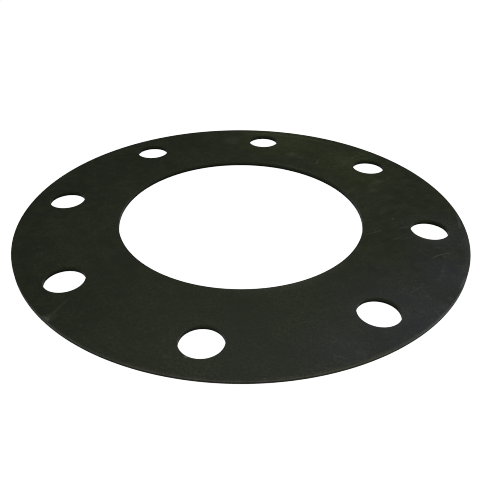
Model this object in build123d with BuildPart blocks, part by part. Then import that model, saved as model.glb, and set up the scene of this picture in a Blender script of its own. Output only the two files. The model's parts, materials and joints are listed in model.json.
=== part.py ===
"""Full-face rubber gasket for a DN 150 pipe flange, cut from one flat sheet.

Millimetres, +Z up. The origin is the centre of the bore on the underside, so the gasket
lies on the XY plane. The bolt holes straddle the X and Y axes, as they do on a pipe flange.
"""

import os

from build123d import *

# Driving dimensions.
sheet_thickness = 3.0
bore_diameter = 157.5
# From the edge of the bore to the centres of the bolt holes.
sealing_land = 41.25
# From the centres of the bolt holes to the rim.
rim_margin = 22.5
bolt_hole_count = 8
# M20 flange bolts, and the play they have in a flange's holes.
bolt_diameter = 20.0
bolt_clearance = 3.0
# The knife drags the rubber down where it enters the top of the sheet, and leaves a rolled
# edge there. Where it comes out of the underside, the edge stays sharp.
knife_entry_radius = 0.2

# Sizes that follow: a 240 mm bolt circle, 285 mm across the rim and 23 mm bolt holes.
bolt_circle_diameter = bore_diameter + 2 * sealing_land
outer_diameter = bolt_circle_diameter + 2 * rim_margin
bolt_hole_diameter = bolt_diameter + bolt_clearance
# Half a step from the X axis, so that the holes straddle it.
first_hole_angle = 360 / bolt_hole_count / 2
# However thin the sheet is, part of the cut's height stays straight.
rolled_edge_radius = min(knife_entry_radius, sheet_thickness / 2)

with BuildPart() as gasket:
    # One stroke of the press cuts the rim, the bore and the bolt holes.
    with BuildSketch(Plane.XY) as cutting_die:
        Circle(outer_diameter / 2)
        Circle(bore_diameter / 2, mode=Mode.SUBTRACT)
        with PolarLocations(bolt_circle_diameter / 2, bolt_hole_count, start_angle=first_hole_angle):
            Circle(bolt_hole_diameter / 2, mode=Mode.SUBTRACT)
    extrude(amount=sheet_thickness)
    knife_entry_edges = gasket.edges().group_by(Axis.Z)[-1]
    fillet(knife_entry_edges, radius=rolled_edge_radius)

gasket.part.label = "gasket"

os.makedirs("parts", exist_ok=True)
export_step(gasket.part, "parts/gasket.step")
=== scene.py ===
"""Dresses the rubber flange gasket on its CAD frame, and sets up its camera and studio.

The gasket is one ring of black rubber sheet. Its visual is one closed mesh: two flat faces,
joined round the rim, the bore and each bolt hole by a strip with the section that the press
knife leaves. Everything is in metres, in the frame of the CAD model.
"""

import json
import logging
import math
from dataclasses import dataclass
from enum import Enum, IntEnum
from typing import Any

import bpy
import numpy as np
from mathutils import Matrix, Vector

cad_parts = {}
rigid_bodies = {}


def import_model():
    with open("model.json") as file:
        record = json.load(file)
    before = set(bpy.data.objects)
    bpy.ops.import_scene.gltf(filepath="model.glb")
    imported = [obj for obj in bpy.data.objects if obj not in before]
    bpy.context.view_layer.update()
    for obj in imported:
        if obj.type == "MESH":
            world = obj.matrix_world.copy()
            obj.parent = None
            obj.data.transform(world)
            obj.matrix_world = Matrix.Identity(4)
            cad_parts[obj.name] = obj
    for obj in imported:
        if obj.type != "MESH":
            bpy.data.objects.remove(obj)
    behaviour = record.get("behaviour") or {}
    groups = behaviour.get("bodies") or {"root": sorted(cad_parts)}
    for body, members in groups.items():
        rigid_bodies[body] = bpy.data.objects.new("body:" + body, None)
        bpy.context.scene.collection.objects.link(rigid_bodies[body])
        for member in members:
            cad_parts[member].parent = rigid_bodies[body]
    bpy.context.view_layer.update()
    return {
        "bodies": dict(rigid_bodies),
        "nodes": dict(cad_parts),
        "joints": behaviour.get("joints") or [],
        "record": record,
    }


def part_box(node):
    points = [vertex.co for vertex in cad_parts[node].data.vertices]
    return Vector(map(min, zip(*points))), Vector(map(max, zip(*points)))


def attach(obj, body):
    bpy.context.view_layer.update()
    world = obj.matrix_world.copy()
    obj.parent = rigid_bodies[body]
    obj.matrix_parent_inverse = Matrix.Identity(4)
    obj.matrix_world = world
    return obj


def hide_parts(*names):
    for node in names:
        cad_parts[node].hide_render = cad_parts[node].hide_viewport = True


LOG = logging.getLogger("flange_gasket")
MM = 0.001
RUBBER_IOR = 1.52
# Where the rubber turns by more than this many degrees, it shows an edge.
SHARP_ANGLE = 50.0
# Points that are the same when rounded to this step, in metres, are one point.
WELD_DISTANCE = 1e-7


class Side(Enum):
    """The two flat faces of the sheet."""

    TOP = "top"
    UNDERSIDE = "underside"


class Finish(IntEnum):
    """The finishes on the ring, in the order of its material slots."""

    SHEET = 0
    INNER_CUT = 1
    RIM_CUT = 2


def linear(code: str) -> tuple[float, float, float, float]:
    """Turns an sRGB colour into Blender's linear one.

    Args:
        code: A hex colour such as "#1a2b3c".

    Returns:
        Linear red, green and blue, and an alpha of 1.
    """
    channels = [int(code[i : i + 2], 16) / 255 for i in (1, 3, 5)]
    red, green, blue = (c / 12.92 if c <= 0.04045 else ((c + 0.055) / 1.055) ** 2.4 for c in channels)
    return red, green, blue, 1.0


def add_node(
    tree: bpy.types.NodeTree,
    kind: str,
    inputs: dict[int | str, Any] | None = None,
    **settings: Any,
) -> bpy.types.Node:
    """Adds a node with its settings and links.

    A Map Range node's sockets are 0 for its value, 1 and 2 for the range that it takes in, and
    3 and 4 for the range that it gives out.

    Args:
        tree: The node tree that gets the node.
        kind: The node's Blender type.
        inputs: For each socket, its value, or the output socket that feeds it.
        settings: The node's options, such as operation.

    Returns:
        The new node.
    """
    node = tree.nodes.new(kind)
    for name, value in settings.items():
        setattr(node, name, value)
    for socket, value in (inputs or {}).items():
        if isinstance(value, bpy.types.NodeSocket):
            tree.links.new(value, node.inputs[socket])
        else:
            node.inputs[socket].default_value = value
    return node


def new_material(name: str) -> tuple[bpy.types.Material, bpy.types.NodeTree]:
    """Makes an empty node material.

    Args:
        name: The material's name.

    Returns:
        The material and its node tree.
    """
    material = bpy.data.materials.new(name)
    material.use_nodes = True
    material.node_tree.nodes.clear()
    return material, material.node_tree


@dataclass(frozen=True)
class Scratch:
    """A light line drawn across the face, bowed along an arc and soft at its edges.

    Lengths are in millimetres in the plane of the sheet. bow is how far the middle of the
    line stands off the straight between its ends, to the left of the way from start to end.
    """

    start: tuple[float, float]
    end: tuple[float, float]
    bow: float
    width: float
    strength: float

    def mask(self, tree: bpy.types.NodeTree, place: bpy.types.NodeSocket) -> bpy.types.NodeSocket:
        """Adds the nodes of the line's mask.

        The line is an arc: a point is on it where its distance from the arc's centre differs
        from the arc's radius by less than half the width, and it fades out towards the ends
        with the distance from the arc's middle.

        Args:
            tree: The material's node tree.
            place: The Object coordinates.

        Returns:
            A value from 0, off the line, to the line's strength.
        """
        start, end = complex(*self.start) * MM, complex(*self.end) * MM
        half, bow = abs(end - start) / 2, self.bow * MM
        left = 1j * (end - start) / abs(end - start)
        middle = (start + end) / 2 + left * bow
        radius = (half**2 + bow**2) / (2 * bow)
        centre = middle - left * radius
        from_centre = add_node(
            tree,
            "ShaderNodeVectorMath",
            {0: flat_place(tree, place), 1: (centre.real, centre.imag, 0.0)},
            operation="DISTANCE",
        )
        off_line = add_node(
            tree,
            "ShaderNodeMath",
            {0: from_centre.outputs["Value"], 1: abs(radius)},
            operation="SUBTRACT",
        )
        away = add_node(tree, "ShaderNodeMath", {0: off_line.outputs[0]}, operation="ABSOLUTE")
        across = add_node(
            tree,
            "ShaderNodeMapRange",
            {0: away.outputs[0], 1: 0.0, 2: self.width * MM / 2, 3: self.strength, 4: 0.0},
            interpolation_type="SMOOTHSTEP",
        )
        from_middle = add_node(
            tree,
            "ShaderNodeVectorMath",
            {0: flat_place(tree, place), 1: (middle.real, middle.imag, 0.0)},
            operation="DISTANCE",
        )
        along = add_node(
            tree,
            "ShaderNodeMapRange",
            {0: from_middle.outputs["Value"], 1: 0.35 * half, 2: half, 3: 1.0, 4: 0.0},
            interpolation_type="SMOOTHSTEP",
        )
        return add_node(
            tree, "ShaderNodeMath", {0: across.outputs[0], 1: along.outputs[0]}, operation="MULTIPLY"
        ).outputs[0]


@dataclass(frozen=True)
class Rub:
    """A soft round patch of wear, dust or bloom, in millimetres in the plane of the sheet."""

    centre: tuple[float, float]
    radius: float
    strength: float

    def mask(self, tree: bpy.types.NodeTree, place: bpy.types.NodeSocket) -> bpy.types.NodeSocket:
        """Adds the nodes of the patch's mask, which falls smoothly from its centre to its radius.

        Args:
            tree: The material's node tree.
            place: The Object coordinates.

        Returns:
            A value from 0, outside the patch, to its strength at the centre.
        """
        away = add_node(
            tree,
            "ShaderNodeVectorMath",
            {0: flat_place(tree, place), 1: (self.centre[0] * MM, self.centre[1] * MM, 0.0)},
            operation="DISTANCE",
        )
        return add_node(
            tree,
            "ShaderNodeMapRange",
            {0: away.outputs["Value"], 1: 0.0, 2: self.radius * MM, 3: self.strength, 4: 0.0},
            interpolation_type="SMOOTHSTEP",
        ).outputs[0]


def flat_place(tree: bpy.types.NodeTree, place: bpy.types.NodeSocket) -> bpy.types.NodeSocket:
    """Gives the place in the plane of the sheet, with its height set to zero.

    Args:
        tree: The material's node tree.
        place: The Object coordinates.

    Returns:
        The flattened place, from one node that every mask of the tree shares.
    """
    name = "flat_place"
    if name not in tree.nodes:
        node = add_node(
            tree, "ShaderNodeVectorMath", {0: place, 1: (1.0, 1.0, 0.0)}, operation="MULTIPLY", name=name
        )
        return node.outputs[0]
    return tree.nodes[name].outputs[0]


def strongest(tree: bpy.types.NodeTree, masks: list[bpy.types.NodeSocket]) -> bpy.types.NodeSocket:
    """Joins masks into one by taking the largest at each point.

    Args:
        tree: The material's node tree.
        masks: At least one mask.

    Returns:
        The joined mask.
    """
    joined = masks[0]
    for mask in masks[1:]:
        joined = add_node(tree, "ShaderNodeMath", {0: joined, 1: mask}, operation="MAXIMUM").outputs[0]
    return joined


def covered(
    tree: bpy.types.NodeTree, place: bpy.types.NodeSocket, marks: tuple[Scratch | Rub, ...]
) -> bpy.types.NodeSocket:
    """Adds the masks of marks and joins them.

    Args:
        tree: The material's node tree.
        place: The Object coordinates.
        marks: At least one mark.

    Returns:
        A value from 0, off the marks, to the strength of the strongest mark at that point.
    """
    return strongest(tree, [mark.mask(tree, place) for mark in marks])


def layered(
    tree: bpy.types.NodeTree,
    ground: bpy.types.NodeSocket,
    films: tuple[tuple[bpy.types.NodeSocket, str], ...],
) -> bpy.types.NodeSocket:
    """Lays films over a ground colour, each on top of the one before.

    Args:
        tree: The material's node tree.
        ground: The colour under the films.
        films: For each film, how much of the surface it covers, and its sRGB colour.

    Returns:
        The colour of the whole.
    """
    colour = ground
    for cover, film in films:
        colour = add_node(
            tree,
            "ShaderNodeMix",
            {"Factor": cover, "A": colour, "B": linear(film)},
            data_type="RGBA",
        ).outputs["Result"]
    return colour


# Light lines on the face, where the ring was dragged over other things.
SCRATCHES = (
    Scratch((66.5, -42.6), (85.2, -37.9), bow=-0.9, width=1.6, strength=0.042),
    Scratch((77.9, -36.4), (86.0, -34.4), bow=-0.2, width=1.0, strength=0.04),
    Scratch((91.9, -40.8), (102.2, -39.6), bow=0.2, width=2.2, strength=0.075),
    Scratch((81.7, -51.3), (91.0, -49.5), bow=-0.2, width=1.8, strength=0.055),
    Scratch((90.0, -48.5), (96.3, -47.1), bow=-0.2, width=1.1, strength=0.045),
    Scratch((87.2, -52.7), (94.3, -50.9), bow=-0.2, width=1.2, strength=0.028),
    Scratch((94.0, -75.8), (114.6, -73.4), bow=2.3, width=1.6, strength=0.1),
    Scratch((107.6, -92.4), (95.5, -104.3), bow=0.3, width=2.6, strength=0.13),
    Scratch((138.7, -30.3), (128.4, -52.9), bow=0.5, width=3.0, strength=0.085),
    Scratch((103.0, -64.6), (109.5, -67.3), bow=0.2, width=2.6, strength=0.036),
    Scratch((103.8, -76.3), (86.6, -97.3), bow=0.7, width=3.5, strength=0.025),
    Scratch((75.7, -103.4), (76.6, -111.2), bow=0.3, width=1.4, strength=0.03),
    Scratch((74.0, -113.6), (74.3, -122.3), bow=0.2, width=1.5, strength=0.058),
    Scratch((64.9, -101.8), (79.7, -95.9), bow=-0.3, width=1.8, strength=0.03),
    Scratch((11.0, -134.0), (18.7, -138.8), bow=0.2, width=1.4, strength=0.062),
    Scratch((10.5, -138.1), (18.9, -142.2), bow=0.2, width=1.4, strength=0.04),
    Scratch((11.3, -128.9), (19.0, -124.5), bow=0.2, width=2.0, strength=0.027),
    Scratch((101.1, 61.4), (121.0, 69.7), bow=0.3, width=2.0, strength=0.07),
    Scratch((82.7, 50.7), (93.1, 53.6), bow=0.2, width=2.2, strength=0.05),
    Scratch((92.9, 14.0), (114.6, 23.6), bow=0.4, width=6.0, strength=0.03),
    Scratch((72.4, 56.9), (80.3, 69.3), bow=0.2, width=1.6, strength=0.08),
    Scratch((113.0, 77.0), (14.0, 136.5), bow=-11.4, width=8.0, strength=0.042),
    Scratch((-121.9, -81.2), (-106.9, -61.7), bow=-0.3, width=3.2, strength=0.042),
)

# Where an olive dust lies on the face.
DUST = (
    Rub((62.0, 114.0), 60.0, 0.048),
    Rub((97.0, 58.0), 42.0, 0.036),
    Rub((102.0, 30.0), 36.0, 0.036),
    Rub((-52.0, -122.0), 74.0, 0.009),
)

# Where the face is scuffed grey along its cut edges, and painted lighter as a highlight where light catches
# the edge.
SCUFFED_AND_LIT_EDGES = (
    Rub((45.0, -135.0), 95.0, 0.01),
    Rub((118.0, -78.0), 50.0, 0.055),
    Rub((12.0, -78.0), 60.0, 0.05),
    Rub((54.0, 57.0), 40.0, 0.05),
)

# Where the bloom is thick enough to look blue, with a painted blue sheen of light over the near right.
BLUE_BLOOM_AND_SHEEN = (
    Rub((64.0, -124.0), 68.0, 0.05),
    Rub((118.0, -57.0), 42.0, 0.036),
    Rub((98.0, -93.0), 38.0, 0.052),
    Rub((20.0, -136.0), 45.0, 0.036),
    Rub((-30.0, -132.0), 60.0, 0.013),
)

# Where wiping left faint grey streaks.
STREAKED = (Rub((100.0, 10.0), 120.0, 0.016), Rub((70.0, -110.0), 50.0, 0.006))

# Where the wax bloom is wiped thin.
WIPED = (
    Rub((-38.0, 116.0), 62.0, 0.6),
    Rub((-97.0, 53.0), 64.0, 0.6),
    Rub((-62.0, 97.0), 42.0, 0.95),
    Rub((78.0, -50.0), 58.0, 0.75),
    Rub((100.0, 10.0), 50.0, 0.5),
    Rub((124.0, -20.0), 34.0, 0.8),
    Rub((51.0, -98.0), 26.0, 0.8),
)

# Soft rubbed patches, and specks.
RUBS = (
    Rub((61.1, 80.8), 7.0, 0.055),
    Rub((65.9, 73.8), 5.0, 0.05),
    Rub((21.9, 119.0), 12.0, 0.03),
    Rub((97.9, 59.2), 11.0, 0.035),
    Rub((98.5, 10.5), 6.0, 0.03),
    Rub((94.3, -28.8), 1.2, 0.2),
    Rub((104.5, -74.7), 2.2, 0.06),
    Rub((75.9, -105.4), 1.6, 0.06),
    Rub((108.0, -88.3), 1.8, 0.06),
    Rub((110.0, -75.5), 8.0, 0.03),
    Rub((87.0, -110.0), 3.0, 0.045),
    Rub((80.1, -114.8), 5.0, 0.04),
    Rub((25.5, -136.5), 5.0, 0.025),
    Rub((-118.4, -78.4), 2.4, 0.24),
    Rub((-120.3, -76.0), 2.2, 0.2),
    Rub((-119.2, -77.2), 3.4, 0.26),
    Rub((-117.0, -76.5), 5.0, 0.07),
    Rub((-71.0, -112.0), 15.0, 0.012),
    Rub((-92.0, -101.0), 26.0, 0.011),
    Rub((22.0, -128.0), 18.0, 0.012),
    Rub((71.0, 34.0), 16.0, 0.012),
    Rub((-64.0, -116.9), 3.0, 0.03),
    Rub((-102.0, -86.3), 3.0, 0.02),
    Rub((-81.2, -71.6), 3.0, 0.02),
    Rub((-86.4, -25.7), 8.0, 0.015),
    Rub((-126.0, -18.4), 4.0, 0.025),
    Rub((-54.6, -119.2), 1.5, 0.3),
)


@dataclass(frozen=True)
class CalenderedSheet:
    """The faces: rubber filled with carbon black, rolled to sheet and cured against cloth.

    To the eye that is a near-black with an olive cast, matt and a little cloudy, with the
    faint even grain of the cloth and a grey bloom where wax has come to the surface. Lengths
    are in millimetres.
    """

    rubber: str = "#15180a"
    bloom: str = "#6e745a"
    dust: str = "#6c7837"
    # The blue of thick bloom, which also paints a blue sheen of light.
    blue_bloom_and_sheen: str = "#634a86"
    # The grey of wear, which also paints the highlight where light catches a scuffed edge.
    wear_and_highlight: str = "#8a8d80"
    # How much of the face the wax bloom covers, where it is neither thick nor thin.
    bloom_cover: float = 0.02
    # How far the wear of an edge, and its painted highlight, reach in over the face.
    scuff_and_highlight_reach: float = 8.0
    # The streaks that wiping leaves: how long and wide they are, and their angle in degrees.
    wipe_length: float = 20.0
    wipe_width: float = 5.0
    wipe_angle: float = 22.0
    cloud_size: float = 46.0
    blotch_size: float = 8.0
    grain_size: float = 1.6
    cloth_pitch: float = 1.2
    relief_depth: float = 0.03
    roughness: float = 0.6
    roughness_spread: float = 0.06
    specular: float = 0.15

    def build(self) -> bpy.types.Material:
        """Makes the material."""
        material, tree = new_material("rubber_calendered_sheet")
        place = add_node(tree, "ShaderNodeTexCoord").outputs["Object"]
        blotches = add_node(
            tree,
            "ShaderNodeTexNoise",
            {"Vector": place, "Scale": 1 / (self.blotch_size * MM), "Detail": 4.0, "Roughness": 0.72},
        ).outputs[0]
        grain = add_node(
            tree,
            "ShaderNodeTexNoise",
            {"Vector": place, "Scale": 1 / (self.grain_size * MM), "Detail": 3.0, "Roughness": 0.7},
        ).outputs[0]
        uneven = add_node(tree, "ShaderNodeMapRange", {0: blotches, 1: 0.38, 2: 0.62, 3: 0.92, 4: 1.08})
        rubber = add_node(
            tree,
            "ShaderNodeVectorMath",
            {0: linear(self.rubber)[:3], "Scale": uneven.outputs[0]},
            operation="SCALE",
        )
        films = (
            (self._bloom(tree, place, blotches, grain), self.bloom),
            (self._sifted_dust(tree, place, grain), self.dust),
            # The blue bloom, with its painted blue sheen.
            (covered(tree, place, BLUE_BLOOM_AND_SHEEN), self.blue_bloom_and_sheen),
            (self._wiped_streaks(tree, place), self.wear_and_highlight),
            # Wear, with the painted edge highlight.
            (self._wear_and_highlight(tree, place, grain), self.wear_and_highlight),
        )
        smooth, rough = self.roughness - self.roughness_spread, self.roughness + self.roughness_spread
        roughness = add_node(tree, "ShaderNodeMapRange", {0: blotches, 1: 0.3, 2: 0.7, 3: smooth, 4: rough})
        shader = add_node(
            tree,
            "ShaderNodeBsdfPrincipled",
            {
                "Base Color": layered(tree, rubber.outputs[0], films),
                "Roughness": roughness.outputs[0],
                "IOR": RUBBER_IOR,
                "Specular IOR Level": self.specular,
                "Normal": self._relief(tree, place, grain),
            },
        )
        add_node(tree, "ShaderNodeOutputMaterial", {"Surface": shader.outputs[0]})
        return material

    def _bloom(
        self,
        tree: bpy.types.NodeTree,
        place: bpy.types.NodeSocket,
        blotches: bpy.types.NodeSocket,
        grain: bpy.types.NodeSocket,
    ) -> bpy.types.NodeSocket:
        """Adds the wax bloom, a speckled film that is cloudy, and thin where it was wiped.

        Args:
            tree: The material's node tree.
            place: The Object coordinates.
            blotches: The noise of the sheet's blotches.
            grain: The fine noise that speckles the film.

        Returns:
            How much of each point the bloom covers.
        """
        clouds = add_node(
            tree,
            "ShaderNodeTexNoise",
            {"Vector": place, "Scale": 1 / (self.cloud_size * MM), "Detail": 3.0, "Distortion": 0.6},
        )
        cloudy = add_node(
            tree,
            "ShaderNodeMix",
            {"Factor": 0.6, "A": clouds.outputs[0], "B": blotches},
            data_type="FLOAT",
        )
        even = add_node(
            tree,
            "ShaderNodeMapRange",
            {0: cloudy.outputs["Result"], 1: 0.35, 2: 0.65, 3: -0.1, 4: 2.1},
        )
        spread = add_node(
            tree,
            "ShaderNodeMath",
            {0: even.outputs[0], 1: covered(tree, place, WIPED)},
            operation="SUBTRACT",
        )
        speckle = add_node(tree, "ShaderNodeMapRange", {0: grain, 1: 0.38, 2: 0.62, 3: 0.2, 4: 1.8})
        film = add_node(
            tree,
            "ShaderNodeMath",
            {0: spread.outputs[0], 1: speckle.outputs[0]},
            operation="MULTIPLY",
        )
        return add_node(
            tree, "ShaderNodeMath", {0: film.outputs[0], 1: self.bloom_cover}, operation="MULTIPLY"
        ).outputs[0]

    def _sifted_dust(
        self, tree: bpy.types.NodeTree, place: bpy.types.NodeSocket, grain: bpy.types.NodeSocket
    ) -> bpy.types.NodeSocket:
        """Adds the dust, which lies on the face as unevenly as if it were sifted.

        Args:
            tree: The material's node tree.
            place: The Object coordinates.
            grain: The fine noise that breaks the dust up.

        Returns:
            How much of each point the dust covers.
        """
        sifted = add_node(tree, "ShaderNodeMapRange", {0: grain, 1: 0.38, 2: 0.62, 3: 0.6, 4: 1.4})
        return add_node(
            tree,
            "ShaderNodeMath",
            {0: covered(tree, place, DUST), 1: sifted.outputs[0]},
            operation="MULTIPLY",
        ).outputs[0]

    def _wiped_streaks(
        self, tree: bpy.types.NodeTree, place: bpy.types.NodeSocket
    ) -> bpy.types.NodeSocket:
        """Adds the streaks of wiping: a noise that is drawn out along the way of the cloth.

        Args:
            tree: The material's node tree.
            place: The Object coordinates.

        Returns:
            How much of each point the streaks cover.
        """
        drawn_out = add_node(
            tree,
            "ShaderNodeMapping",
            {
                "Vector": place,
                "Rotation": (0.0, 0.0, math.radians(self.wipe_angle)),
                "Scale": (self.wipe_length * MM, self.wipe_width * MM, 1.0),
            },
            vector_type="TEXTURE",
        )
        wipes = add_node(
            tree,
            "ShaderNodeTexNoise",
            {"Vector": drawn_out.outputs[0], "Scale": 1.0, "Detail": 3.0, "Distortion": 0.6},
        )
        streak = add_node(tree, "ShaderNodeMapRange", {0: wipes.outputs[0], 1: 0.5, 2: 0.7})
        return add_node(
            tree,
            "ShaderNodeMath",
            {0: covered(tree, place, STREAKED), 1: streak.outputs[0]},
            operation="MULTIPLY",
        ).outputs[0]

    def _wear_and_highlight(
        self, tree: bpy.types.NodeTree, place: bpy.types.NodeSocket, grain: bpy.types.NodeSocket
    ) -> bpy.types.NodeSocket:
        """Adds the scratches, the rubs and the scuffed edges, whose grey also paints a highlight where
        light catches the edge.

        A scuffed edge fades with the square of the way in from the cut.

        Args:
            tree: The material's node tree.
            place: The Object coordinates.
            grain: The fine noise that breaks the marks up.

        Returns:
            How much wear and painted edge highlight each point has, from 0 to 1.
        """
        edge = add_node(tree, "ShaderNodeAttribute", attribute_name=FlangeRing.EDGE_DISTANCE)
        near = add_node(
            tree,
            "ShaderNodeMapRange",
            {0: edge.outputs["Fac"], 1: 0.0, 2: self.scuff_and_highlight_reach * MM, 3: 1.0, 4: 0.0},
        )
        reach = add_node(tree, "ShaderNodeMath", {0: near.outputs[0], 1: 2.0}, operation="POWER")
        # The scuffed edges, painted lighter as a highlight where light catches them.
        scuffed_and_lit = add_node(
            tree,
            "ShaderNodeMath",
            {0: reach.outputs[0], 1: covered(tree, place, SCUFFED_AND_LIT_EDGES)},
            operation="MULTIPLY",
        )
        marks = strongest(tree, [covered(tree, place, (*SCRATCHES, *RUBS)), scuffed_and_lit.outputs[0]])
        broken = add_node(tree, "ShaderNodeMapRange", {0: grain, 1: 0.3, 2: 0.6, 3: 0.55, 4: 1.0})
        return add_node(
            tree, "ShaderNodeMath", {0: marks, 1: broken.outputs[0]}, operation="MULTIPLY"
        ).outputs[0]

    def _relief(
        self, tree: bpy.types.NodeTree, place: bpy.types.NodeSocket, grain: bpy.types.NodeSocket
    ) -> bpy.types.NodeSocket:
        """Adds the relief: the print of the cloth, sin(x) sin(y) at its pitch, and the grain.

        A real cloth is finer. It is drawn at a pitch that the render can still show.

        Args:
            tree: The material's node tree.
            place: The Object coordinates.
            grain: The fine noise.

        Returns:
            The bumped normal.
        """
        phase = add_node(
            tree,
            "ShaderNodeVectorMath",
            {0: place, "Scale": 2 * math.pi / (self.cloth_pitch * MM)},
            operation="SCALE",
        )
        waves = add_node(tree, "ShaderNodeVectorMath", {0: phase.outputs[0]}, operation="SINE")
        thread = add_node(tree, "ShaderNodeSeparateXYZ", {0: waves.outputs[0]})
        cloth = add_node(
            tree,
            "ShaderNodeMath",
            {0: thread.outputs["X"], 1: thread.outputs["Y"]},
            operation="MULTIPLY",
        )
        height = add_node(
            tree,
            "ShaderNodeMix",
            {"Factor": 0.6, "A": cloth.outputs[0], "B": grain},
            data_type="FLOAT",
        )
        return add_node(
            tree,
            "ShaderNodeBump",
            {
                "Strength": 1.0,
                "Distance": self.relief_depth * MM,
                "Height": height.outputs["Result"],
            },
        ).outputs[0]


@dataclass(frozen=True)
class KnifeCut:
    """A cut edge: the same rubber, sliced by the press knife.

    To the eye that is a plain dark band with faint upright strokes. The rim is painted lighter
    and the inner edges darker, as lit and shaded copies of one cut: painted light from the floor
    and the lamps on the rim, painted shade in the bore and the holes. Lengths are in millimetres.
    """

    name: str
    dark: str
    light: str
    # How light the cut is painted low down, against 1 at the top: painted light from the floor
    # on the rim, painted shade in the bore and the holes.
    lower: float
    # How light the foot is, with a painted contact shadow, against 1 above it.
    foot: float
    # The wax and dust of handling, and painted light where the lamps and the floor light the
    # cut: their colour, and where they lie.
    bloom: str
    bloomed_and_lit: tuple[Rub, ...]
    # A cut that is handled and dusty is matt, and one left as the knife made it is satin.
    roughness: float
    roughness_spread: float = 0.08
    specular: float = 0.04
    stroke_width: float = 0.7
    stroke_length: float = 8.0
    patch_size: float = 14.0
    relief_depth: float = 0.03
    # The heights between which the cut goes from its painted lower tone to its tone at the top.
    lower_heights: tuple[float, float] = (0.9, 2.4)
    # The heights between which the painted contact shadow at the foot thins out.
    foot_heights: tuple[float, float] = (0.85, 1.3)

    def build(self) -> bpy.types.Material:
        """Makes the material."""
        material, tree = new_material(self.name)
        place = add_node(tree, "ShaderNodeTexCoord").outputs["Object"]
        drawn_out = add_node(
            tree,
            "ShaderNodeMapping",
            {"Vector": place, "Scale": (1.0, 1.0, self.stroke_width / self.stroke_length)},
        )
        strokes = add_node(
            tree,
            "ShaderNodeTexNoise",
            {"Vector": drawn_out.outputs[0], "Scale": 1 / (self.stroke_width * MM), "Detail": 2.0},
        )
        patches = add_node(
            tree,
            "ShaderNodeTexNoise",
            {"Vector": place, "Scale": 1 / (self.patch_size * MM), "Detail": 3.0},
        )
        tone = add_node(
            tree,
            "ShaderNodeMix",
            {"Factor": 0.5, "A": strokes.outputs[0], "B": patches.outputs[0]},
            data_type="FLOAT",
        )
        shade = add_node(tree, "ShaderNodeMapRange", {0: tone.outputs["Result"], 1: 0.36, 2: 0.64})
        rubber = add_node(
            tree,
            "ShaderNodeMix",
            {"Factor": shade.outputs[0], "A": linear(self.dark), "B": linear(self.light)},
            data_type="RGBA",
        )
        # Handling's wax and dust, with painted light, laid over the cut.
        handled_and_lit = ((covered(tree, place, self.bloomed_and_lit), self.bloom),)
        colour = add_node(
            tree,
            "ShaderNodeVectorMath",
            {
                0: layered(tree, rubber.outputs["Result"], handled_and_lit),
                "Scale": self._shading(tree, place),
            },
            operation="SCALE",
        )
        smooth, rough = self.roughness - self.roughness_spread, self.roughness + self.roughness_spread
        roughness = add_node(
            tree, "ShaderNodeMapRange", {0: strokes.outputs[0], 1: 0.3, 2: 0.7, 3: smooth, 4: rough}
        )
        relief = add_node(
            tree,
            "ShaderNodeBump",
            {"Strength": 1.0, "Distance": self.relief_depth * MM, "Height": strokes.outputs[0]},
        )
        shader = add_node(
            tree,
            "ShaderNodeBsdfPrincipled",
            {
                "Base Color": colour.outputs[0],
                "Roughness": roughness.outputs[0],
                "IOR": RUBBER_IOR,
                "Specular IOR Level": self.specular,
                "Normal": relief.outputs[0],
            },
        )
        add_node(tree, "ShaderNodeOutputMaterial", {"Surface": shader.outputs[0]})
        return material

    def _shading(
        self, tree: bpy.types.NodeTree, place: bpy.types.NodeSocket
    ) -> bpy.types.NodeSocket:
        """Adds the painted light and shade down the cut, and the painted contact shadow at its foot.

        Args:
            tree: The material's node tree.
            place: The Object coordinates.

        Returns:
            What each point's colour is multiplied by.
        """
        height = add_node(tree, "ShaderNodeSeparateXYZ", {0: place}).outputs["Z"]
        # The painted light and shade down the cut.
        low, high = (edge * MM for edge in self.lower_heights)
        graded = add_node(tree, "ShaderNodeMapRange", {0: height, 1: low, 2: high, 3: self.lower, 4: 1.0})
        # The painted contact shadow at the foot.
        low, high = (edge * MM for edge in self.foot_heights)
        painted_foot_shadow = add_node(tree, "ShaderNodeMapRange", {0: height, 1: low, 2: high, 3: self.foot, 4: 1.0})
        return add_node(
            tree,
            "ShaderNodeMath",
            {0: graded.outputs[0], 1: painted_foot_shadow.outputs[0]},
            operation="MULTIPLY",
        ).outputs[0]


@dataclass(frozen=True)
class Patch:
    """Part of the surface: its points, the quads between them, and their finish."""

    points: np.ndarray
    quads: np.ndarray
    finish: Finish

    @classmethod
    def from_loops(cls, points: np.ndarray, finish: Finish, turned: bool) -> "Patch":
        """Skins a batch of grids whose rows are closed loops.

        Point (b, r, c) of B grids of R rows and C columns has the number (b R + r) C + c, and a
        quad joins it to the next column round the loop and to the next row.

        Args:
            points: An array of shape (B, R, C, 3).
            finish: The finish of every quad.
            turned: True to face the quads the other way.

        Returns:
            The patch.
        """
        batch, rows, columns, _ = points.shape
        b, r, c = np.meshgrid(np.arange(batch), np.arange(rows - 1), np.arange(columns), indexing="ij")
        here = (b * rows + r) * columns
        following = (c + 1) % columns
        corners = [here + c, here + following, here + columns + following, here + columns + c]
        quads = np.stack(corners[::-1] if turned else corners, axis=-1).reshape(-1, 4)
        return cls(points.reshape(-1, 3), quads, finish)


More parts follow.
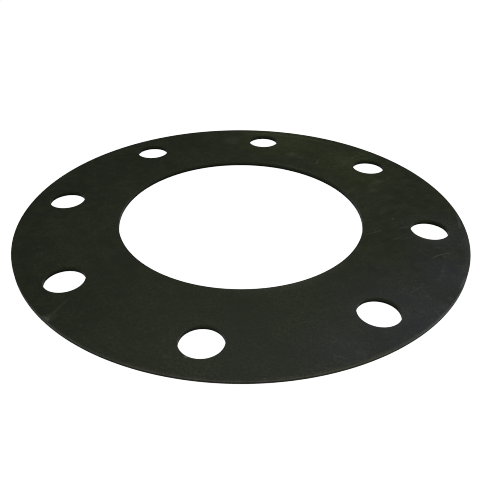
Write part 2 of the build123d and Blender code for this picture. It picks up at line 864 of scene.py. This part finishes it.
@dataclass(frozen=True)
class Nick:
    """A shallow bruise in the rim's top edge, in metres."""

    centre: tuple[float, float, float]
    radius: float
    depth: float

    def pressed(self, points: np.ndarray) -> np.ndarray:
        """Presses the points near the bruise inwards and down.

        At distance d from the centre a point moves by depth * exp(-(d / radius) ** 2), in
        towards the ring's axis and down at 45 degrees. The underside stays flat.

        Args:
            points: An array of shape (n, 3).

        Returns:
            The moved points.
        """
        away = np.linalg.norm(points - np.array(self.centre), axis=1)
        push = self.depth * np.exp(-((away / self.radius) ** 2)) / math.sqrt(2)
        inwards = -points[:, :2] / np.linalg.norm(points[:, :2], axis=1, keepdims=True)
        direction = np.column_stack([inwards, np.full(len(points), -1.0)])
        moved = points + push[:, None] * direction
        moved[:, 2] = np.where(points[:, 2] > 0, np.maximum(moved[:, 2], 0), 0)
        return moved


@dataclass(frozen=True)
class FlangeRing:
    """The gasket: a flat ring with a bore and a circle of bolt holes, cut from one sheet.

    The plan is worked out in the complex plane, x + iy. It is cut into one sector for each
    bolt hole, and each sector is a grid of loops that run from the hole out to its borders.
    """

    rim_radius: float
    bore_radius: float
    bolt_circle_radius: float
    bolt_hole_radius: float
    bolt_hole_count: int
    thickness: float
    rolled_edge: float = 0.2 * MM
    # How far the middle of a cut stands back, because the rubber bulges under the knife.
    cut_hollow: float = 0.05 * MM
    # The steps of one sector: along its part of the rim, of the bore, and along each side.
    rim_steps: int = 96
    bore_steps: int = 64
    border_steps: int = 24
    # The points on the section of a cut: on its rolled edge, and on its wall below that.
    rolled_points: int = 5
    wall_points: int = 7
    # Where the loops lie between a hole, at 0, and the borders of its sector, at 1.
    loop_places: tuple[float, ...] = (0.0, 0.01, 0.05, 0.14, 0.28, 0.44, 0.6, 0.76, 0.9, 0.985, 1.0)

    EDGE_DISTANCE = "edge_distance"

    @classmethod
    def from_frame(cls, frame: dict[str, Any]) -> "FlangeRing":
        """Reads the ring's sizes from the frame.


        Returns:
            The ring. Its rim is the largest circle inside the CAD node's box.
        """
        dims = {mount["name"]: mount["dims"] for mount in frame["record"]["mounts"]}
        low, high = (np.array(corner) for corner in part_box("gasket"))
        return cls(
            rim_radius=float(np.abs([low[:2], high[:2]]).min()),
            bore_radius=dims["bore"]["r_mm"] * MM,
            bolt_circle_radius=dims["bolts"]["pcd_mm"] / 2 * MM,
            bolt_hole_radius=dims["bolts"]["hole_r_mm"] * MM,
            bolt_hole_count=dims["bolts"]["count"],
            thickness=float(high[2] - low[2]),
        )

    def _sector_angles(self) -> np.ndarray:
        """Gives the angle of each bolt hole, the first half a step from the X axis."""
        return 2 * math.pi * (np.arange(self.bolt_hole_count) + 0.5) / self.bolt_hole_count

    def _border(self, inset: float) -> np.ndarray:
        """Gives the border of the sector about the X axis, as one anticlockwise loop.

        It runs along the rim, in along one side, back along the bore and out along the other
        side, each at even steps.

        Args:
            inset: How far the face's edge stands back from the rim and from the bore.

        Returns:
            A complex array of the loop's points.
        """
        half = math.pi / self.bolt_hole_count
        outer, inner = self.rim_radius - inset, self.bore_radius + inset
        rim = outer * np.exp(1j * np.linspace(-half, half, self.rim_steps, endpoint=False))
        inwards = np.linspace(outer, inner, self.border_steps, endpoint=False) * np.exp(1j * half)
        bore = inner * np.exp(1j * np.linspace(half, -half, self.bore_steps, endpoint=False))
        outwards = np.linspace(inner, outer, self.border_steps, endpoint=False) * np.exp(-1j * half)
        return np.concatenate([rim, inwards, bore, outwards])

    def _hole_directions(self) -> np.ndarray:
        """Gives the unit directions from the X-axis sector's hole to the points of its border."""
        rays = self._border(self.rolled_edge) - self.bolt_circle_radius
        return rays / np.abs(rays)

    def _face(self, side: Side) -> Patch:
        """Skins one flat face.

        Point (t, s) of a sector is (1 - t) hole(s) + t border(s), where hole(s) is on the bolt
        hole in the direction of border(s). The sector is then turned to each hole's angle.

        Args:
            side: The face to skin.

        Returns:
            The face's patch.
        """
        top = side is Side.TOP
        inset = self.rolled_edge if top else 0.0
        border = self._border(inset)
        hole = self.bolt_circle_radius + (self.bolt_hole_radius + inset) * self._hole_directions()
        t = np.array(self.loop_places)[:, None]
        sector = (1 - t) * hole + t * border
        plan = sector * np.exp(1j * self._sector_angles())[:, None, None]
        height = np.full(plan.shape, self.thickness if top else 0.0)
        points = np.stack([plan.real, plan.imag, height], axis=-1)
        return Patch.from_loops(points, Finish.SHEET, turned=top)

    def _cut_section(self) -> tuple[np.ndarray, np.ndarray]:
        """Gives the section of a cut edge, from the top face down to the underside.

        It is a quarter circle of the rolled edge's radius, then a wall that stands back by
        hollow * sin(pi w) ** 2, where w runs from 0 below the rolled edge to 1 at the underside.

        Returns:
            How far each point stands back into the rubber, and its height.
        """
        turn = np.linspace(0.0, math.pi / 2, self.rolled_points)
        down = np.linspace(0.0, 1.0, self.wall_points + 1)[1:]
        straight = self.thickness - self.rolled_edge
        rolled = self.rolled_edge * (1 - np.sin(turn))
        back = np.concatenate([rolled, self.cut_hollow * np.sin(math.pi * down) ** 2])
        height = np.concatenate([straight + self.rolled_edge * np.cos(turn), straight * (1 - down)])
        return back, height

    def _cut(self, path: np.ndarray, open_side: np.ndarray, finish: Finish, turned: bool) -> Patch:
        """Carries the cut's section along closed paths.

        Args:
            path: Complex points of shape (paths, steps), anticlockwise.
            open_side: For each point, the unit direction away from the rubber.
            finish: The finish of the cut.
            turned: True where the open side is to the right of the path.

        Returns:
            The cut's patch.
        """
        back, height = self._cut_section()
        plan = path[:, None, :] - back[None, :, None] * open_side[:, None, :]
        heights = np.broadcast_to(height[None, :, None], plan.shape)
        points = np.stack([plan.real, plan.imag, heights], axis=-1)
        return Patch.from_loops(points, finish, turned)

    def _cuts(self) -> list[Patch]:
        """Skins the rim, the bore and the bolt holes."""
        turns = np.exp(1j * self._sector_angles())
        half = math.pi / self.bolt_hole_count
        rim_sweep = np.exp(1j * np.linspace(-half, half, self.rim_steps, endpoint=False))
        bore_sweep = np.exp(1j * np.linspace(half, -half, self.bore_steps, endpoint=False))[::-1]
        rim = (turns[:, None] * rim_sweep).reshape(1, -1)
        bore = (turns[:, None] * bore_sweep).reshape(1, -1)
        around = turns[:, None] * self._hole_directions()
        holes = turns[:, None] * self.bolt_circle_radius + self.bolt_hole_radius * around
        return [
            self._cut(self.rim_radius * rim, rim, Finish.RIM_CUT, turned=True),
            self._cut(self.bore_radius * bore, -bore, Finish.INNER_CUT, turned=False),
            self._cut(holes, -around, Finish.INNER_CUT, turned=False),
        ]

    def _edge_distances(self, points: np.ndarray) -> np.ndarray:
        """Gives each point's distance in plan from the nearest cut edge.

        Args:
            points: An array of shape (n, 3).

        Returns:
            n distances, zero on the cuts themselves.
        """
        plan = points[:, 0] + 1j * points[:, 1]
        centres = self.bolt_circle_radius * np.exp(1j * self._sector_angles())
        to_holes = np.abs(plan[:, None] - centres).min(axis=1) - self.bolt_hole_radius
        to_rim = self.rim_radius - np.abs(plan)
        to_bore = np.abs(plan) - self.bore_radius
        return np.clip(np.minimum.reduce([to_holes, to_rim, to_bore]), 0.0, None)

    def build(self, nicks: tuple[Nick, ...]) -> bpy.types.Object:
        """Makes the ring's mesh and its object.

        The patches are welded where their points meet, so that the ring is closed.

        Args:
            nicks: The bruises pressed into it.

        Returns:
            The ring's object, at the origin.
        """
        patches = [self._face(Side.TOP), self._face(Side.UNDERSIDE), *self._cuts()]
        starts = np.cumsum([0, *(len(patch.points) for patch in patches[:-1])])
        loose = np.concatenate([patch.points for patch in patches])
        quads = np.concatenate([patch.quads + start for patch, start in zip(patches, starts)])
        finishes = np.concatenate([np.full(len(patch.quads), patch.finish) for patch in patches])
        cells = np.round(loose / WELD_DISTANCE).astype(np.int64)
        _, kept, merged = np.unique(cells, axis=0, return_index=True, return_inverse=True)
        points, quads = loose[kept], merged.reshape(-1)[quads]
        for nick in nicks:
            points = nick.pressed(points)
        mesh = bpy.data.meshes.new("rubber_ring")
        mesh.from_pydata(points, [], quads)
        mesh.polygons.foreach_set("material_index", finishes.astype(np.int32))
        mesh.polygons.foreach_set("use_smooth", np.ones(len(quads), dtype=bool))
        mesh.set_sharp_from_angle(angle=math.radians(SHARP_ANGLE))
        distance = mesh.attributes.new(self.EDGE_DISTANCE, "FLOAT", "POINT")
        distance.data.foreach_set("value", self._edge_distances(points).astype(np.float32))
        mesh.update()
        ring = bpy.data.objects.new("rubber_ring", mesh)
        bpy.context.scene.collection.objects.link(ring)
        edges = np.sort(np.stack([quads, np.roll(quads, -1, axis=1)], axis=-1).reshape(-1, 2), axis=1)
        _, faces_at_edge = np.unique(edges, axis=0, return_counts=True)
        LOG.info("rubber_ring: %d quads, closed: %s", len(quads), bool((faces_at_edge == 2).all()))
        return ring

    def dress(self, ring: bpy.types.Object) -> None:
        """Gives the ring its finishes, in the order of Finish.

        Args:
            ring: The ring's object.
        """
        # Painted darker than the rim: painted shade in the bore and the bolt holes.
        inner = KnifeCut(
            "rubber_inner_cut",
            dark="#1a2012",
            light="#212817",
            lower=0.3,
            foot=0.6,
            roughness=0.55,
            # Wax and dust, with painted light on the walls that face the lamps and the floor.
            bloom="#6f6e5b",
            bloomed_and_lit=(
                Rub((-10.0, -125.0), 200.0, 0.085),
                Rub((25.0, 72.0), 90.0, 0.022),
                Rub((58.0, 52.0), 45.0, 0.03),
                Rub((80.0, -8.0), 36.0, 0.05),
            ),
        )
        # Painted lighter than the inner cuts: painted light from the floor and the lamps on the rim.
        rim = KnifeCut(
            "rubber_rim_cut",
            dark="#2e2f27",
            light="#3e3f36",
            lower=2.0,
            foot=0.3,
            roughness=0.85,
            # A painted cool highlight on the rim's right front, where the lamps light it.
            bloom="#6e7980",
            bloomed_and_lit=(Rub((78.0, -119.0), 62.0, 0.09),),
        )
        for finish in (CalenderedSheet(), inner, rim):
            ring.data.materials.append(finish.build())


@dataclass(frozen=True)
class StudioCamera:
    """The camera. Azimuth 0 looks along +Y, and elevation is above the ring's plane.

    distance is from the middle of the bore, in metres. The lens points a little below and
    beside it, by tilt from the horizontal and by aside, and is rolled by roll, all in degrees.
    lens and sensor_width are in millimetres.
    """

    azimuth: float = -13.567
    elevation: float = 31.173
    distance: float = 363.9 * MM
    tilt: float = 33.483
    aside: float = 0.089
    roll: float = 0.078
    lens: float = 41.388
    sensor_width: float = 36.0

    def build(self) -> None:
        """Makes the camera and gives it to the scene."""
        data = bpy.data.cameras.new("studio_camera")
        data.lens = self.lens
        data.sensor_width = self.sensor_width
        data.clip_start = 0.01
        data.clip_end = 50.0
        camera = bpy.data.objects.new("studio_camera", data)
        up = math.radians(self.elevation)
        stand = Vector((0.0, -math.cos(up), math.sin(up))) * self.distance
        place = Matrix.Rotation(math.radians(self.azimuth), 4, "Z") @ Matrix.Translation(stand)
        pan = Matrix.Rotation(math.radians(self.aside), 4, "Z")
        pitch = Matrix.Rotation(math.radians(90 - self.tilt), 4, "X")
        roll = Matrix.Rotation(math.radians(self.roll), 4, "Z")
        camera.matrix_world = place @ pan @ pitch @ roll
        bpy.context.scene.collection.objects.link(camera)
        bpy.context.scene.camera = camera
        LOG.info("studio_camera: %.1f mm lens", self.lens)


@dataclass(frozen=True)
class Softbox:
    """A square light aimed at the middle of the ring.

    bearing is in degrees to the right of where the camera stands, seen from above: 0 is over
    the camera and 180 is beyond the ring. elevation is in degrees, and lengths are in metres.
    """

    name: str
    bearing: float
    elevation: float
    distance: float
    side: float
    watts: float
    colour: str

    def build(self, camera_azimuth: float) -> None:
        """Makes the light.

        Args:
            camera_azimuth: Where the camera stands, in degrees.
        """
        data = bpy.data.lights.new(self.name, "AREA")
        data.shape = "SQUARE"
        data.size = self.side
        data.energy = self.watts
        data.color = linear(self.colour)[:3]
        light = bpy.data.objects.new(self.name, data)
        up = math.radians(self.elevation)
        round_by = math.radians(self.bearing + camera_azimuth)
        away = Vector((math.sin(round_by), -math.cos(round_by), math.tan(up))).normalized()
        facing = away.to_track_quat("Z", "Y").to_matrix().to_4x4()
        light.matrix_world = Matrix.Translation(away * self.distance) @ facing
        bpy.context.scene.collection.objects.link(light)
        LOG.info("%s: %.2f W", self.name, self.watts)


@dataclass(frozen=True)
class LightTable:
    """The floor: a wide panel of opal acrylic that glows from below, so that no shadow shows."""

    half_width: float = 4.0
    # A hair under the ring, so that the two surfaces don't lie in one plane.
    drop: float = 0.05 * MM
    colour: str = "#404040"
    glow: float = 1.0

    def build(self) -> None:
        """Makes the floor."""
        mesh = bpy.data.meshes.new("light_table")
        corners = np.array([[-1, -1, 0], [1, -1, 0], [1, 1, 0], [-1, 1, 0]]) * self.half_width
        mesh.from_pydata(corners - np.array([0.0, 0.0, self.drop]), [], [[0, 1, 2, 3]])
        material, tree = new_material("acrylic_light_table")
        shader = add_node(
            tree,
            "ShaderNodeBsdfPrincipled",
            {
                "Base Color": linear(self.colour),
                "Roughness": 0.9,
                "Specular IOR Level": 0.0,
                "Emission Color": linear("#ffffff"),
                "Emission Strength": self.glow,
            },
        )
        add_node(tree, "ShaderNodeOutputMaterial", {"Surface": shader.outputs[0]})
        mesh.materials.append(material)
        table = bpy.data.objects.new("light_table", mesh)
        bpy.context.scene.collection.objects.link(table)
        LOG.info("light_table: %.1f m wide", 2 * self.half_width)


@dataclass(frozen=True)
class Studio:
    """The light on the ring: an even overhead glow and softboxes, in white surroundings."""

    overhead_strength: float = 1.225
    overhead_colour: str = "#f0fcfe"
    # How wide the overhead glow is, in degrees of sky.
    overhead_spread: float = 110.0
    # The width, in pixels, of the filter that joins a pixel's samples.
    pixel_filter: float = 1.0
    softboxes: tuple[Softbox, ...] = (
        Softbox(
            "over_ring",
            bearing=180,
            elevation=70,
            distance=0.5,
            side=0.35,
            watts=0.97,
            colour="#f6ffe3",
        ),
        Softbox(
            "window_right",
            bearing=115,
            elevation=55,
            distance=0.5,
            side=0.3,
            watts=0.11,
            colour="#d9ffbc",
        ),
        Softbox(
            "near_right",
            bearing=50,
            elevation=45,
            distance=0.37,
            side=0.2,
            watts=0.66,
            colour="#e9e3f4",
        ),
    )

    def build(self, camera: StudioCamera) -> None:
        """Makes the lights and the world.

        Args:
            camera: The camera that the softboxes are placed about.
        """
        sun = bpy.data.lights.new("overhead_glow", "SUN")
        sun.energy = self.overhead_strength
        sun.angle = math.radians(self.overhead_spread)
        sun.color = linear(self.overhead_colour)[:3]
        overhead = bpy.data.objects.new("overhead_glow", sun)
        bpy.context.scene.collection.objects.link(overhead)
        LOG.info("overhead_glow: %.3f W/m2", self.overhead_strength)
        for softbox in self.softboxes:
            softbox.build(camera.azimuth)
        self._surroundings()
        bpy.context.scene.view_settings.view_transform = "Standard"
        bpy.context.scene.cycles.filter_width = self.pixel_filter

    def _surroundings(self) -> None:
        """Makes the world: white to look at, but it lights nothing."""
        world = bpy.data.worlds.new("white_surroundings")
        world.use_nodes = True
        tree = world.node_tree
        tree.nodes.clear()
        white = linear("#ffffff")
        seen = add_node(tree, "ShaderNodeBackground", {"Color": white, "Strength": 1.0})
        unlit = add_node(tree, "ShaderNodeBackground", {"Color": white, "Strength": 0.0})
        ray = add_node(tree, "ShaderNodeLightPath")
        either = add_node(
            tree,
            "ShaderNodeMixShader",
            {0: ray.outputs["Is Camera Ray"], 1: unlit.outputs[0], 2: seen.outputs[0]},
        )
        add_node(tree, "ShaderNodeOutputWorld", {"Surface": either.outputs[0]})
        bpy.context.scene.world = world


def main() -> None:
    """Builds the object on its frame, then the camera and the studio."""
    logging.basicConfig(level=logging.INFO, format="%(name)s: %(message)s")
    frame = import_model()

    ring = FlangeRing.from_frame(frame)
    bruise = Nick((-120.1 * MM, -76.4 * MM, 3.0 * MM), radius=1.6 * MM, depth=0.35 * MM)
    piece = ring.build((bruise,))
    ring.dress(piece)
    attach(piece, "root")
    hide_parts("gasket")

    LightTable().build()
    camera = StudioCamera()
    camera.build()
    Studio().build(camera)


if __name__ == "__main__":
    main()
